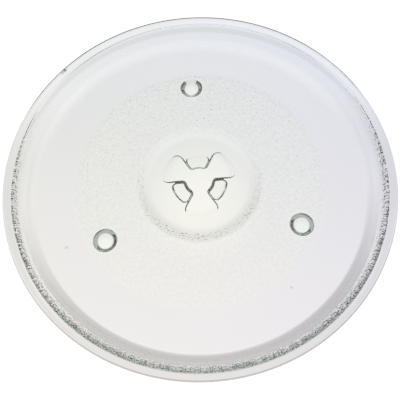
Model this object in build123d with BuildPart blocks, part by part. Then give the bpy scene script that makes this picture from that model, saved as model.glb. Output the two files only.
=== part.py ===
from build123d import *
import math
import os

# Microwave turntable plate, pressed from clear glass in one piece.
# The plate stands right way up on its three feet: Z = 0 is the plane of the foot ends,
# +Z points up to the rim, and one foot lies on +Y.

# Driving dimensions of the dish, in millimetres
plate_diameter = 270.0
glass_thickness = 5.0
dish_depth = 10.6
wall_angle = 54.0

# Flat flange round the top of the wall
flange_width = 7.4
flange_thickness = 4.0
flange_overhang = 5.0

# Rounding of the dish section
floor_round = 8.0
rim_round = 1.2
lip_round = 1.5
flange_root_round = 0.8
track_edge_round = 10.5

# Three feet under the flat floor, which keep the drive lugs off a table
foot_count = 3
foot_height = 5.0
foot_circle_diameter = 156.8
foot_root_diameter = 16.8
foot_end_diameter = 10.8
foot_end_round = 1.6
foot_root_round = 1.2
first_foot_angle = 90.0

# Thicker hub pad under the middle, with a gentle slope round it
hub_diameter = 77.0
hub_slope_run = 7.0
hub_drop = 2.6
hub_edge_round = 6.0

# Three-lobed recess that the drive coupler enters from below
lobe_circle_diameter = 55.0
lobe_angle = 61.0
lobe_corner_round = 6.0
recess_depth = 2.5
lobe_ramp_run = 6.0
recess_round = 0.9

# Three lugs between the lobes, which the coupler pushes on
coupler_bore_diameter = 20.8
lug_circle_diameter = 41.0
lug_depth = 2.0
lug_ramp_run = 1.8
lug_outer_round = 4.5
lug_inner_round = 2.0
lug_edge_round = 0.7
draft_angle = 22.0

# Levels and radii that follow from the sizes above
underside_z = foot_height
floor_z = underside_z + glass_thickness
rim_z = floor_z + dish_depth
hub_z = underside_z - hub_drop
lug_end_z = hub_z - lug_depth
flange_under_z = rim_z - flange_thickness
plate_radius = plate_diameter / 2
rim_radius = plate_radius - flange_width
flange_root_radius = plate_radius - flange_overhang
hub_radius = hub_diameter / 2
lobe_radius = lobe_circle_diameter / 2
bore_radius = coupler_bore_diameter / 2
lug_radius = lug_circle_diameter / 2
lug_angle = 360.0 / foot_count - lobe_angle
first_lobe_angle = first_foot_angle + 180.0 / foot_count

# Both faces of the wall lean out at the same angle
wall_lean = 1 / math.tan(math.radians(wall_angle))
floor_radius = rim_radius - dish_depth * wall_lean
track_radius = flange_root_radius - (flange_under_z - underside_z) * wall_lean

# The round of the lip gives way where the flange gets thin
lip_corner_round = min(lip_round, flange_thickness / 2)

# Half section of the dish, from the middle of its floor round the rim to the middle of the hub pad
section_points = [
    (0, floor_z),
    (floor_radius, floor_z),
    (rim_radius, rim_z),
    (plate_radius, rim_z),
    (plate_radius, flange_under_z),
    (flange_root_radius, flange_under_z),
    (track_radius, underside_z),
    (hub_radius + hub_slope_run, underside_z),
    (hub_radius, hub_z),
    (0, hub_z),
]
corner_rounds = [
    floor_round,
    rim_round,
    lip_corner_round,
    lip_corner_round,
    flange_root_round,
    track_edge_round,
    hub_edge_round,
    hub_edge_round,
]

# One lobe of the recess, a sector about the middle with round outer corners
with BuildSketch() as lobe:
    with BuildLine():
        PolarLine((0, 0), lobe_radius, -lobe_angle / 2)
        CenterArc((0, 0), lobe_radius, -lobe_angle / 2, lobe_angle)
        PolarLine((0, 0), lobe_radius, lobe_angle / 2)
    make_face()
    fillet(lobe.vertices().group_by(SortBy.DISTANCE)[-1], lobe_corner_round)

# One lug, a ring sector that fills the space between two lobes
with BuildSketch() as lug:
    with BuildLine():
        CenterArc((0, 0), bore_radius, -lug_angle / 2, lug_angle)
        CenterArc((0, 0), lug_radius, -lug_angle / 2, lug_angle)
        for side in (-lug_angle / 2, lug_angle / 2):
            start = Vector(bore_radius, 0).rotate(Axis.Z, side)
            PolarLine(start, lug_radius - bore_radius, side)
    make_face()
    fillet(lug.vertices().group_by(SortBy.DISTANCE)[-1], lug_outer_round)
    fillet(lug.vertices().group_by(SortBy.DISTANCE)[0], lug_inner_round)

# The space of the recess: straight drafted sides, with a ramp at the end of each lobe
with BuildPart() as recess_space:
    with BuildSketch(Plane.XY.offset(hub_z)) as trefoil:
        Circle(bore_radius)
        with PolarLocations(0, foot_count, first_lobe_angle):
            add(lobe.sketch)
        fillet(trefoil.vertices().group_by(SortBy.DISTANCE)[0], lug_inner_round)
    extrude(amount=recess_depth, taper=draft_angle)
    with Locations((0, 0, hub_z)):
        Cone(
            lobe_radius,
            lobe_radius - lobe_ramp_run,
            recess_depth,
            align=(Align.CENTER, Align.CENTER, Align.MIN),
            mode=Mode.INTERSECT,
        )
    fillet(recess_space.faces().sort_by(Axis.Z)[-1].edges(), recess_round)

# The three lugs, drafted towards their lower ends, with a ramp on the outside
with BuildPart() as drive_lugs:
    with BuildSketch(Plane.XY.offset(hub_z)):
        with PolarLocations(0, foot_count, first_foot_angle):
            add(lug.sketch)
    extrude(amount=-lug_depth, taper=draft_angle)
    with Locations((0, 0, lug_end_z)):
        Cone(
            lug_radius - lug_ramp_run,
            lug_radius,
            lug_depth,
            align=(Align.CENTER, Align.CENTER, Align.MIN),
            mode=Mode.INTERSECT,
        )
    fillet(drive_lugs.faces().group_by(Axis.Z)[0].edges(), lug_edge_round)

# The whole plate
with BuildPart() as turntable_plate:
    with BuildSketch(Plane.XZ):
        with BuildLine():
            FilletPolyline(*section_points, radius=corner_rounds)
            Line(section_points[-1], section_points[0])
        make_face()
    revolve(axis=Axis.Z)

    with PolarLocations(foot_circle_diameter / 2, foot_count, first_foot_angle):
        Cone(
            foot_end_diameter / 2,
            foot_root_diameter / 2,
            foot_height,
            align=(Align.CENTER, Align.CENTER, Align.MIN),
        )
    foot_ends = turntable_plate.faces().group_by(Axis.Z)[0]
    fillet(foot_ends.edges(), foot_end_round)
    circles = turntable_plate.edges().filter_by(GeomType.CIRCLE)
    foot_roots = circles.filter_by(lambda edge: math.isclose(edge.radius, foot_root_diameter / 2))
    fillet(foot_roots, foot_root_round)

    add(drive_lugs.part)
    add(recess_space.part, mode=Mode.SUBTRACT)

turntable_plate.part.label = "turntable_plate"

os.makedirs("parts", exist_ok=True)
export_step(turntable_plate.part, "parts/turntable_plate.step")
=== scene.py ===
import cmath
import math

import bpy
import bmesh
import numpy as np
from mathutils import Matrix, Vector, noise
from mathutils.geometry import delaunay_2d_cdt


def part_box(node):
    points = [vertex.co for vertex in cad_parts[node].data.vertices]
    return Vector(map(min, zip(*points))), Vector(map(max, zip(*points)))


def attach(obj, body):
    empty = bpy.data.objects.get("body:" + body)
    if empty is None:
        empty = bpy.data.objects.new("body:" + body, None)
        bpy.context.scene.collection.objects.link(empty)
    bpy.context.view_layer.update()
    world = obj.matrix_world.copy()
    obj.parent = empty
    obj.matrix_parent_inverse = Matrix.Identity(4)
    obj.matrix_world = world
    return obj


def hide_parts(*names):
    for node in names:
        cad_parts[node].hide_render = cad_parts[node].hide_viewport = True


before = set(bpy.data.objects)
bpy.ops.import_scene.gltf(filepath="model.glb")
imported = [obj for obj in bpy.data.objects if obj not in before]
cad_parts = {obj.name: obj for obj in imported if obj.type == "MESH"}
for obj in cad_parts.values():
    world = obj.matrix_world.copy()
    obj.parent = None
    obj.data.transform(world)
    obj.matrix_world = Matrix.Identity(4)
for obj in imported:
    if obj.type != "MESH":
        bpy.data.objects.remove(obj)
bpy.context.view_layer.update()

# Overall size of the plate, from the frame, in millimetres like the sizes below
MM = 0.001
plate_low, plate_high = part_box("turntable_plate")
plate_radius = (plate_high[0] - plate_low[0]) / 2 / MM
rim_z = plate_high[2] / MM

# Section of the dish, as in the CAD model
glass_thickness = 5.0
dish_depth = 10.6
wall_angle = 54.0
flange_width = 7.4
flange_thickness = 4.0
flange_overhang = 5.0
floor_round = 8.0
rim_round = 1.2
lip_round = 1.5
flange_root_round = 0.8
track_edge_round = 10.5

# Feet under the floor
foot_count = 3
foot_circle_radius = 78.4
foot_root_radius = 8.4
foot_end_radius = 5.4
foot_end_round = 1.6
foot_root_round = 1.2
first_foot_angle = 90.0

# Thicker hub pad under the middle
hub_radius = 38.5
hub_slope_run = 7.0
hub_drop = 2.6
hub_edge_round = 6.0

# Drive recess in the hub pad, and the lugs between its lobes
lobe_radius = 27.5
lobe_angle = 61.0
lobe_corner_round = 6.0
lobe_ramp_run = 6.0
lobe_ramp_round = 1.6
recess_depth = 2.5
recess_round = 0.9
bore_radius = 10.4
lug_radius = 20.5
lug_depth = 2.0
lug_ramp_run = 1.8
lug_outer_round = 4.5
lug_inner_round = 2.0
lug_edge_round = 0.7
draft_angle = 22.0

# Levels and radii that follow
floor_z = rim_z - dish_depth
underside_z = floor_z - glass_thickness
flange_under_z = rim_z - flange_thickness
hub_z = underside_z - hub_drop
wall_lean = 1 / math.tan(math.radians(wall_angle))
rim_radius = plate_radius - flange_width
flange_root_radius = plate_radius - flange_overhang
floor_radius = rim_radius - dish_depth * wall_lean
track_radius = flange_root_radius - (flange_under_z - underside_z) * wall_lean
draft = math.tan(math.radians(draft_angle))

# Pebbles, which the mesh has as shape: on the underside round the hub pad and on the outside of the wall
pebble_size = 1.3
pebble_height = 0.13
pebble_gain = 2.0
pebble_seed = Vector((3.7, 11.3, 5.1))
pebble_fade = 1.5
pebbled_radius = 90.0

# The wall is pebbled above a level and up to just below the flange, and less and less towards the back
pebbled_wall_z = 12.0
wall_fade = 2.5
root_smooth = 0.3
pebbled_wall_front = -5.0
pebbled_wall_back = 75.0

# Strength of the wall's texture, and of the grain and mottling at the front and middle of the underside
wall_share = 1.8
annulus_shares = (0.6, 0.95)

# Grain and mottling, which the material adds where the glass is pebbled
grain_size = 1.3
grain_height = 0.6
mottle_size = 2.4
mottle_edges = (0.35, 0.65)
mottle_depth = 0.10
noise_detail = 1

# Glass, with the colour it takes in depth and its density per metre
glass_roughness = 0.01
glass_index = 1.51
glass_colour = (0.80, 0.84, 0.80, 1)
glass_density = 50.0
small_marks = [
    # place, reach, how dark
    ((-94.6, 93.0, 20.6), 2.6, 1.0),
    ((-96.4, 90.6, 20.6), 2.0, 0.7),
    ((-93.0, -43.2, 10.0), 1.6, 0.5),
    ((53.5, -82.3, 10.0), 1.4, 0.5),
]

# Studio floor just below the feet, and how white the camera itself sees it
floor_half_width = 2000.0
floor_drop = 0.15
floor_colour = (0.25, 0.25, 0.25, 1)
floor_white = 0.95

# Colour that the floor shows through the glass, with painted light on it: its change per metre to the
# right and to the back is a painted gradient of light
floor_glow = (0.860, 0.849, 0.872)
floor_glow_right = (-0.28, -0.25, 0.08)
floor_glow_back = (-0.62, -0.43, -0.31)
# Painted falloff of light: the floor seen through the glass grows darker between these radii, by the loss
glow_reach = (160.0, 220.0)
glow_loss = 0.9
# Painted pools of light on the floor seen through the glass: a wide one round the middle and one under the
# hub
floor_discs = [
    # centre, distances from it where the light starts and is full, added colour
    ((0.0, 0.0, 0.0), (95.0, 85.0), (0.028, 0.034, 0.002)),
    ((0.0, -14.0, 0.0), (52.0, 10.0), (0.106, 0.098, 0.057)),
]
# Painted pools of light on the floor under each foot, shifted towards the front
foot_light_reach = (7.0, 2.5)
foot_light = (0.10, 0.10, 0.09)
foot_light_shift = -2.0
# Painted shadow rings on the floor seen through the glass, near the rim and round the hub slope; a
# negative darkness paints light instead
floor_shades = [
    # radii where it starts, is full, starts to fade and ends; Y where it starts and is full; how dark
    ((118.5, 121.5, 129.0, 130.5), (0.0, -105.0), 0.38),
    ((34.5, 38.5, 43.5, 46.0), (15.0, -30.0), 0.11),
    ((34.5, 38.5, 43.5, 46.0), (0.0, 35.0), -0.06),
    ((128.0, 131.0, 135.0, 140.0), (-60.0, -110.0), 0.11),
    ((133.0, 136.0, 145.0, 150.0), (70.0, -10.0), 0.11),
    ((114.0, 124.0, 150.0, 160.0), (20.0, 90.0), -0.12),
    ((136.0, 138.5, 141.5, 143.5), (20.0, 90.0), 0.11),
]

# Light of the studio
sky_colour = (0.03, 0.03, 0.03)
sky_white = (1, 1, 1, 1)
soft_lights = [
    # towards, where its edge starts and ends as a cosine, colour times strength
    ((0.0, 0.0, 1.0), (0.6, 1.0), (0.6, 0.6, 0.6)),
    ((0.2, 0.9, 0.4), (0.7, 1.0), (1.2, 1.2, 1.2)),
]
light_bounces = 24

# Camera, with angles in degrees and its focal length as a share of the picture's width
camera_distance = 325.4
camera_elevation = 68.82
camera_azimuth = -1.67
camera_roll = -3.05
camera_target = (-0.73, -16.72, floor_z)
camera_focal = 1.16875
sensor_width = 36

# Fineness of the mesh
smooth_columns = 480
pebbled_columns = 960
arc_step = math.radians(12)
wall_grid = 0.75
pebble_grid = 0.9
pebble_jitter = 0.25
jitter_seed = 7
hub_grid = 0.4
pad_grid = 1.6
grid_overlap = 1.0
drive_margin = 2 * hub_grid
snap_reach = hub_grid / 3
slope_probe = 0.01
least_slope = 0.5
track_inner_radius = 112.0
track_ring_radii = (109.0, 100.0, 94.0)
track_ring_points = 240
foot_ring_points = 48
foot_ring_least = 0.5
foot_ring_tolerance = 0.01
merge_distance = 1e-6


def rounded_section(points, rounds):
    """A section through the given points, with arcs at its corners, as radius + height * 1j."""
    section = [points[0]]
    for before, corner, after, radius in zip(points, points[1:], points[2:], rounds):
        heading = (corner - before) / abs(corner - before)
        turn = cmath.phase((after - corner) / heading)
        start = corner - heading * radius * math.tan(abs(turn) / 2)
        centre = start + heading * math.copysign(radius, turn) * 1j
        steps = max(2, math.ceil(abs(turn) / arc_step))
        for step in range(steps + 1):
            section.append(centre + (start - centre) * cmath.exp(1j * turn * step / steps))
    section.append(points[-1])
    return np.array(section)


def subdivided(section, step):
    """The same section with no run longer than a step."""
    finer = [section[0]]
    for start, end in zip(section, section[1:]):
        runs = max(1, math.ceil(abs(end - start) / step))
        finer.extend(start + (end - start) * run / runs for run in range(1, runs + 1))
    return np.array(finer)


# Sections of the plate: top side, outside, hub pad and foot
flange_root = flange_root_radius + flange_under_z * 1j
lip_corner = plate_radius + flange_under_z * 1j
flange_middle = (flange_root + lip_corner) / 2
upper_section = rounded_section(
    [
        0 + floor_z * 1j,
        floor_radius + floor_z * 1j,
        rim_radius + rim_z * 1j,
        plate_radius + rim_z * 1j,
        lip_corner,
        flange_middle,
    ],
    [floor_round, rim_round, lip_round, lip_round],
)
outer_section = rounded_section(
    [
        flange_middle,
        flange_root,
        track_radius + underside_z * 1j,
        track_inner_radius + underside_z * 1j,
    ],
    [flange_root_round, track_edge_round],
)
hub_section = rounded_section(
    [
        0 + hub_z * 1j,
        hub_radius + hub_z * 1j,
        hub_radius + hub_slope_run + underside_z * 1j,
        plate_radius + underside_z * 1j,
    ],
    [hub_edge_round, hub_edge_round],
)
foot_section = rounded_section(
    [
        0,
        foot_end_radius + 0j,
        foot_root_radius + underside_z * 1j,
        2 * foot_root_radius + underside_z * 1j,
    ],
    [foot_end_round, foot_root_round],
)
foot_reach = foot_section[-2].real
foot_centres = [
    cmath.rect(foot_circle_radius, math.radians(first_foot_angle + foot * 360 / foot_count))
    for foot in range(foot_count)
]


def round_max(a, b, radius):
    """Signed distance to the common part of two shapes, with their corner rounded."""
    inside = np.minimum(np.maximum(a + radius, b + radius), 0)
    return inside + np.hypot(np.maximum(a + radius, 0), np.maximum(b + radius, 0)) - radius


def round_min(a, b, radius):
    """Signed distance to two shapes joined, with the inner corner between them rounded."""
    return -round_max(-a, -b, radius)


def soft_min(a, b, width):
    """The smaller of two heights, blended where they are close."""
    near = np.maximum(width - abs(a - b), 0)
    return np.minimum(a, b) - near * near / (4 * width)


def trefoil_distance(x, y):
    """Signed distance to the outline of the drive recess, less than 0 inside it."""
    radius = np.hypot(x, y)
    half = math.radians(lobe_angle / 2)
    lobes = []
    for lobe in range(foot_count):
        angle = math.radians(first_foot_angle + (lobe + 0.5) * 360 / foot_count)
        along = x * math.cos(angle) + y * math.sin(angle)
        across = y * math.cos(angle) - x * math.sin(angle)
        side = abs(across) * math.cos(half) - along * math.sin(half)
        lobes.append(round_max(side, radius - lobe_radius, lobe_corner_round))
    return round_min(np.minimum.reduce(lobes), radius - bore_radius, lug_inner_round)


def lug_distance(x, y):
    """Signed distance to the outlines of the drive lugs, less than 0 inside them."""
    return round_max(-trefoil_distance(x, y), np.hypot(x, y) - lug_radius, lug_outer_round)


def foot_gap(x, y):
    """Distance to the axis of the nearest foot."""
    return np.minimum.reduce([np.hypot(x - foot.real, y - foot.imag) for foot in foot_centres])


def underside_height(x, y):
    """Height of the smooth underside: floor, hub pad, feet, drive recess and lugs."""
    radius = np.hypot(x, y)
    z = np.interp(radius, hub_section.real, hub_section.imag)
    z = np.minimum(z, np.interp(foot_gap(x, y), foot_section.real, foot_section.imag))
    lobe_ramp = np.maximum((lobe_radius - radius) * recess_depth / lobe_ramp_run, 0)
    lobe_ramp = soft_min(lobe_ramp, recess_depth, lobe_ramp_round)
    lobe_side = soft_min(-trefoil_distance(x, y) / draft, lobe_ramp, recess_round)
    recess = np.maximum(soft_min(lobe_side, recess_depth, recess_round), 0)
    lug_ramp = (lug_radius - radius) * lug_depth / lug_ramp_run
    lug_side = soft_min(-lug_distance(x, y) / draft, lug_ramp, lug_edge_round)
    lug = np.maximum(soft_min(lug_side, lug_depth, lug_edge_round), 0)
    return z + recess - lug


def pebble(x, y, z):
    """Height of the pebbled texture at a place, between about -1 and 1."""
    places = np.stack([x, y, z], axis=-1) / pebble_size
    return np.array([noise.noise(Vector(place) + pebble_seed) for place in places]) * pebble_gain


def faded(distance, width=pebble_fade):
    """0 outside a pebbled zone, 1 well inside it."""
    return np.clip(distance / width, 0, 1)


def hex_lattice(step, reach):
    """Points of a triangular lattice within a radius, as x + y * 1j."""
    row_step = math.sqrt(0.75)
    rows = math.ceil(reach / (step * row_step))
    columns = math.ceil(reach / step) + 1
    row, column = np.meshgrid(np.arange(-rows, rows + 1), np.arange(-columns, columns + 1))
    lattice = (column + (row % 2) / 2) * step + row * step * row_step * 1j
    return lattice[abs(lattice) < reach]


def circle(radius, count, centre=0):
    """Points of a circle, as x + y * 1j."""
    return centre + radius * np.exp(2j * math.pi * np.arange(count) / count)


def snapped(points, distance, levels):
    """Points near a level of a distance function, moved onto it."""
    for level in levels:
        x, y = points.real, points.imag
        off = distance(x, y) - level
        east = distance(x + slope_probe, y) - distance(x - slope_probe, y)
        north = distance(x, y + slope_probe) - distance(x, y - slope_probe)
        slope = (east + 1j * north) / (2 * slope_probe)
        near = (abs(off) < snap_reach) & (abs(slope) > least_slope)
        move = off * slope / np.maximum(abs(slope), least_slope) ** 2
        points = np.where(near, points - move, points)
    return points


def in_drive(points, reach=0):
    """Which points lie on the walls and ramps of the drive recess and lugs, or within a reach of them."""
    trefoil = trefoil_distance(points.real, points.imag)
    lug = lug_distance(points.real, points.imag)
    band = draft * recess_depth + drive_margin + reach
    on_wall = (abs(trefoil) < band) | ((lug < hub_grid + reach) & (lug > -band))
    on_ramp = (trefoil < 0) & (abs(points) > lobe_radius - lobe_ramp_run - drive_margin - reach)
    return on_wall | on_ramp


def underside_points():
    """Places of the underside's mesh points, close together where it has detail."""
    rng = np.random.default_rng(jitter_seed)
    pebbles = hex_lattice(pebble_grid, pebbled_radius)
    shift = rng.uniform(-1, 1, pebbles.shape) + 1j * rng.uniform(-1, 1, pebbles.shape)
    pebbles = pebbles + pebble_grid * pebble_jitter * shift
    pad_edge = hub_radius - grid_overlap
    gap = foot_gap(pebbles.real, pebbles.imag)
    pebbles = pebbles[(abs(pebbles) > pad_edge) & (gap > foot_reach + pebble_grid / 2)]

    drive = hex_lattice(hub_grid, lobe_radius + grid_overlap)
    drive = drive[in_drive(drive)]
    drive = snapped(drive, trefoil_distance, (-draft * recess_depth, 0, draft * lug_depth))
    drive = snapped(drive, lug_distance, (-draft * lug_depth, 0))

    pad = hex_lattice(pad_grid, pad_edge - pad_grid / 2)
    pad = pad[~in_drive(pad, pad_grid / 2)]

    foot_rings = [
        circle(radius, foot_ring_points, foot)
        for foot in foot_centres
        for radius in subdivided(foot_section, pebble_grid).real[1:]
        if foot_ring_least < radius <= foot_reach + foot_ring_tolerance
    ]
    track_rings = [circle(radius, track_ring_points) for radius in track_ring_radii]
    edge = circle(track_inner_radius, pebbled_columns)
    return np.concatenate([edge, pebbles, drive, pad, np.array(foot_centres)] + foot_rings + track_rings)


def ring_points(place, columns):
    """One ring of a revolved section, as an array of x, y and z."""
    ring = circle(place.real, columns)
    return np.column_stack([ring.real, ring.imag, np.full(columns, place.imag)])


def upper_layers():
    """Middle point and rings of the top side, each with how far its points are pebbled: not at all."""
    layers = [(np.array([[0, 0, floor_z]]), np.zeros(1))]
    for place in upper_section[1:]:
        layers.append((ring_points(place, smooth_columns), np.zeros(smooth_columns)))
    return layers


def outer_layers():
    """Rings of the outside with their pebbles, each with how far its points are pebbled."""
    layers = []
    section = subdivided(outer_section, wall_grid)
    headings = np.gradient(section)
    for place, heading in zip(section[1:-1], headings[1:-1]):
        x, y, z = ring_points(place, pebbled_columns).T
        normal = heading / abs(heading) * 1j
        zone = np.zeros(pebbled_columns)
        if place.imag < flange_under_z - root_smooth:
            front = faded(pebbled_wall_back - y, pebbled_wall_back - pebbled_wall_front)
            zone = front * faded(place.imag - pebbled_wall_z, wall_fade) * wall_share
        lift = pebble(x, y, z) * pebble_height * zone
        spread = 1 + lift * normal.real / place.real
        layers.append((np.column_stack([x * spread, y * spread, z + lift * normal.imag]), zone))
    return layers


def underside_layer(places):
    """Points of the underside with its pebbles, and how far each point is pebbled."""
    x, y = places.real, places.imag
    radius = abs(places)
    zone = faded(pebbled_radius - radius) * faded(radius - hub_radius) * faded(foot_gap(x, y) - foot_reach)
    z = underside_height(x, y)
    z = z + pebble(x, y, z) * pebble_height * zone
    share = np.interp(y, (-pebbled_radius, 0), annulus_shares)
    return np.column_stack([x, y, z]), zone * share


def bridge(first, second):
    """Faces between two rings of points; the second may have twice as many."""
    faces = []
    count = len(first)
    for here in range(count):
        following = (here + 1) % count
        if len(second) == count:
            faces.append((first[here], second[here], second[following], first[following]))
        else:
            middle = second[2 * here + 1]
            faces.append((first[here], second[2 * here], middle))
            faces.append((first[here], middle, first[following]))
            faces.append((first[following], middle, second[2 * following]))
    return faces


def plate_mesh():
    """The whole plate as one closed mesh, in metres, with how far each point is pebbled."""
    under = underside_points()
    layers = upper_layers() + outer_layers() + [underside_layer(under)]
    points, zones = zip(*layers)

    # The underside comes last, and its first points are the ring that the outside ends on
    counts = [len(layer) for layer in points[1:-1]] + [pebbled_columns]
    starts = np.cumsum([len(points[0])] + counts[:-1])
    rings = [start + np.arange(count) for start, count in zip(starts, counts)]
    faces = [(0, here, following) for here, following in zip(rings[0], np.roll(rings[0], -1))]
    for first, second in zip(rings, rings[1:]):
        faces.extend(bridge(first, second))
    flat_points = [Vector((place.real, place.imag)) for place in under]
    _, _, triangles, origins, _, _ = delaunay_2d_cdt(flat_points, [], [], 0, merge_distance)
    for triangle in triangles:
        faces.append(tuple(starts[-1] + origins[corner][0] for corner in reversed(triangle)))

    mesh = bpy.data.meshes.new("turntable_plate_glass")
    places = np.concatenate(points) * MM
    mesh.from_pydata(places.tolist(), [], [tuple(map(int, face)) for face in faces])
    work = bmesh.new()
    work.from_mesh(mesh)
    bmesh.ops.recalc_face_normals(work, faces=work.faces)
    for face in work.faces:
        face.smooth = True
    work.to_mesh(mesh)
    work.free()
    pebbled = mesh.attributes.new("pebbled", "FLOAT", "POINT")
    pebbled.data.foreach_set("value", np.concatenate(zones))
    return mesh


def wired(tree, kind, inputs, **settings):
    """A new shader node with its settings made and its inputs set, or linked to other nodes' outputs."""
    node = tree.nodes.new(kind)
    for name, value in settings.items():
        setattr(node, name, value)
    for name, value in inputs.items():
        if isinstance(value, bpy.types.NodeSocket):
            tree.links.new(value, node.inputs[name])
        else:
            node.inputs[name].default_value = value
    return node


def calculated(tree, operation, first, second):
    """The output of a node that works out one number from two."""
    return wired(tree, "ShaderNodeMath", {0: first, 1: second}, operation=operation).outputs[0]


def measured(tree, operation, first, second):
    """The output of a node that works out one number from two vectors."""
    node = wired(tree, "ShaderNodeVectorMath", {0: first, 1: second}, operation=operation)
    return node.outputs["Value"]


def added(tree, colour, amount, change):
    """The output of a node that adds an amount of a change to a colour."""
    inputs = {0: amount, 1: change, 2: colour}
    return wired(tree, "ShaderNodeVectorMath", inputs, operation="MULTIPLY_ADD").outputs[0]


def smooth_step(tree, value, start, end):
    """The output of a node that goes smoothly from 0 to 1 between two values."""
    inputs = {"Value": value, "From Min": start, "From Max": end}
    return wired(tree, "ShaderNodeMapRange", inputs, interpolation_type="SMOOTHSTEP").outputs[0]


def noise_at(tree, place, size):
    """The output of a noise texture with lumps of a size in millimetres."""
    inputs = {"Vector": place, "Scale": 1 / (size * MM), "Detail": noise_detail}
    return wired(tree, "ShaderNodeTexNoise", inputs).outputs[0]


def in_metres(lengths):
    """Lengths that are given in millimetres."""
    return [length * MM for length in lengths]


def empty_material(name):
    """A material with only an output node, its node tree and that node."""
    material = bpy.data.materials.new(name)
    material.use_nodes = True
    material.node_tree.nodes.clear()
    return material, material.node_tree, material.node_tree.nodes.new("ShaderNodeOutputMaterial")


def glass_material():
    """Clear, faintly green pressed glass: grainy and mottled where pebbled, with a few dark marks."""
    material, tree, output = empty_material("pressed_glass")
    place = wired(tree, "ShaderNodeTexCoord", {}).outputs["Object"]
    zone = wired(tree, "ShaderNodeAttribute", {}, attribute_name="pebbled").outputs["Fac"]

    relief = calculated(tree, "MULTIPLY", noise_at(tree, place, grain_size), zone)
    bump = wired(tree, "ShaderNodeBump", {"Height": relief, "Distance": grain_height * MM}).outputs[0]

    spots = smooth_step(tree, noise_at(tree, place, mottle_size), *mottle_edges)
    dark = calculated(tree, "MULTIPLY", zone, calculated(tree, "MULTIPLY", spots, mottle_depth))
    for centre, reach, depth in small_marks:
        away = measured(tree, "DISTANCE", place, in_metres(centre))
        mark = calculated(tree, "MULTIPLY", smooth_step(tree, away, reach * MM, 0), depth)
        dark = calculated(tree, "ADD", dark, mark)
    clear = calculated(tree, "SUBTRACT", 1, dark)

    surface = {
        "Base Color": clear,
        "Roughness": glass_roughness,
        "IOR": glass_index,
        "Transmission Weight": 1,
        "Normal": bump,
    }
    volume = {"Color": glass_colour, "Density": glass_density}
    glass = wired(tree, "ShaderNodeBsdfPrincipled", surface).outputs[0]
    tint = wired(tree, "ShaderNodeVolumeAbsorption", volume).outputs[0]
    tree.links.new(glass, output.inputs["Surface"])
    tree.links.new(tint, output.inputs["Volume"])
    return material


plate = bpy.data.objects.new("plate_glass", plate_mesh())
bpy.context.collection.objects.link(plate)
plate.data.materials.append(glass_material())
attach(plate, "root")
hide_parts("turntable_plate")


def painted_floor_light(tree, place, axes):
    """The colour of the floor seen through the glass, as painted light: its gradients of light, and
    painted pools of light under hub and feet.
    """
    tint = added(tree, floor_glow, axes["X"], floor_glow_right)
    tint = added(tree, tint, axes["Y"], floor_glow_back)
    under_feet = []
    for foot in foot_centres:
        centre = (foot.real, foot.imag + foot_light_shift, 0)
        under_feet.append((centre, foot_light_reach, foot_light))
    for centre, reach, change in floor_discs + under_feet:
        away = measured(tree, "DISTANCE", place, in_metres(centre))
        tint = added(tree, tint, smooth_step(tree, away, *in_metres(reach)), change)
    return tint


def floor_loss(tree, place, axes):
    """The light that the floor lacks seen through the glass: outside the plate, and in ring shades."""
    radius = wired(tree, "ShaderNodeVectorMath", {0: place}, operation="LENGTH").outputs["Value"]
    loss = calculated(tree, "MULTIPLY", smooth_step(tree, radius, *in_metres(glow_reach)), glow_loss)
    for radii, y_range, depth in floor_shades:
        start, full, fading, end = in_metres(radii)
        rise = smooth_step(tree, radius, start, full)
        fall = smooth_step(tree, radius, fading, end)
        ring = calculated(tree, "SUBTRACT", rise, fall)
        part = smooth_step(tree, axes["Y"], *in_metres(y_range))
        shade = calculated(tree, "MULTIPLY", calculated(tree, "MULTIPLY", ring, part), depth)
        loss = calculated(tree, "ADD", loss, shade)
    return loss


def floor_material():
    """Matt floor that the camera sees as white, and that shows painted light and painted shade through the
    glass.
    """
    material, tree, output = empty_material("white_floor")
    place = wired(tree, "ShaderNodeTexCoord", {}).outputs["Object"]
    axes = wired(tree, "ShaderNodeSeparateXYZ", {0: place}).outputs
    rays = wired(tree, "ShaderNodeLightPath", {}).outputs

    white = calculated(tree, "MULTIPLY", floor_white, rays["Is Camera Ray"])
    matt = wired(tree, "ShaderNodeBsdfDiffuse", {"Color": floor_colour}).outputs[0]
    direct = wired(tree, "ShaderNodeEmission", {"Strength": white}).outputs[0]
    open_floor = wired(tree, "ShaderNodeAddShader", {0: matt, 1: direct}).outputs[0]

    strength = calculated(tree, "SUBTRACT", 1, floor_loss(tree, place, axes))
    glow = {"Color": painted_floor_light(tree, place, axes), "Strength": strength}
    seen_through = wired(tree, "ShaderNodeEmission", glow).outputs[0]
    choice = {0: rays["Is Transmission Ray"], 1: open_floor, 2: seen_through}
    surface = wired(tree, "ShaderNodeMixShader", choice).outputs[0]
    tree.links.new(surface, output.inputs["Surface"])
    return material


floor_mesh = bpy.data.meshes.new("floor")
floor_corners = [(-1, -1), (1, -1), (1, 1), (-1, 1)]
floor_points = [
    in_metres((side * floor_half_width, end * floor_half_width, -floor_drop))
    for side, end in floor_corners
]
floor_mesh.from_pydata(floor_points, [], [(0, 1, 2, 3)])
floor = bpy.data.objects.new("floor", floor_mesh)
bpy.context.collection.objects.link(floor)
floor.data.materials.append(floor_material())


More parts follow.
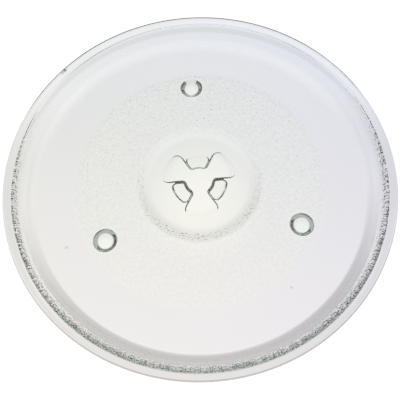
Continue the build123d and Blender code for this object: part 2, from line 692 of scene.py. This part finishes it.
def studio_world():
    """Soft lights in a dim sky, which the camera itself sees as white."""
    world = bpy.data.worlds.new("studio")
    world.use_nodes = True
    tree = world.node_tree
    tree.nodes.clear()
    heading = wired(tree, "ShaderNodeTexCoord", {}).outputs["Generated"]
    colour = sky_colour
    for direction, edges, strength in soft_lights:
        cosine = measured(tree, "DOT_PRODUCT", heading, Vector(direction).normalized())
        colour = added(tree, colour, smooth_step(tree, cosine, *edges), strength)
    direct = wired(tree, "ShaderNodeLightPath", {}).outputs["Is Camera Ray"]
    lit = wired(tree, "ShaderNodeBackground", {"Color": colour}).outputs[0]
    white = wired(tree, "ShaderNodeBackground", {"Color": sky_white}).outputs[0]
    sky = wired(tree, "ShaderNodeMixShader", {0: direct, 1: lit, 2: white}).outputs[0]
    tree.links.new(sky, tree.nodes.new("ShaderNodeOutputWorld").inputs["Surface"])
    return world


def studio_camera():
    """The camera at the photograph's viewing angle."""
    elevation = math.radians(camera_elevation)
    azimuth = math.radians(camera_azimuth)
    roll = math.radians(camera_roll)
    level = Vector((math.cos(azimuth), math.sin(azimuth), 0))
    front = Vector((level.y, -level.x, 0))
    back = front * math.cos(elevation) + Vector((0, 0, math.sin(elevation)))
    rise = back.cross(level)
    right = level * math.cos(roll) + rise * math.sin(roll)
    up = rise * math.cos(roll) - level * math.sin(roll)
    place = (Vector(camera_target) + back * camera_distance) * MM
    turned = Matrix((right, up, back)).transposed().to_4x4()

    lens = bpy.data.cameras.new("camera")
    lens.sensor_width = sensor_width
    lens.lens = camera_focal * sensor_width
    camera = bpy.data.objects.new("camera", lens)
    camera.matrix_world = Matrix.Translation(place) @ turned
    bpy.context.collection.objects.link(camera)
    return camera


scene = bpy.context.scene
scene.world = studio_world()
scene.camera = studio_camera()

# A plain view, light that may pass through many faces of the glass, and a picture that is not smoothed
scene.view_settings.view_transform = "Standard"
scene.cycles.max_bounces = light_bounces
scene.cycles.transmission_bounces = light_bounces
scene.cycles.glossy_bounces = light_bounces
scene.cycles.blur_glossy = 0
scene.cycles.use_denoising = False
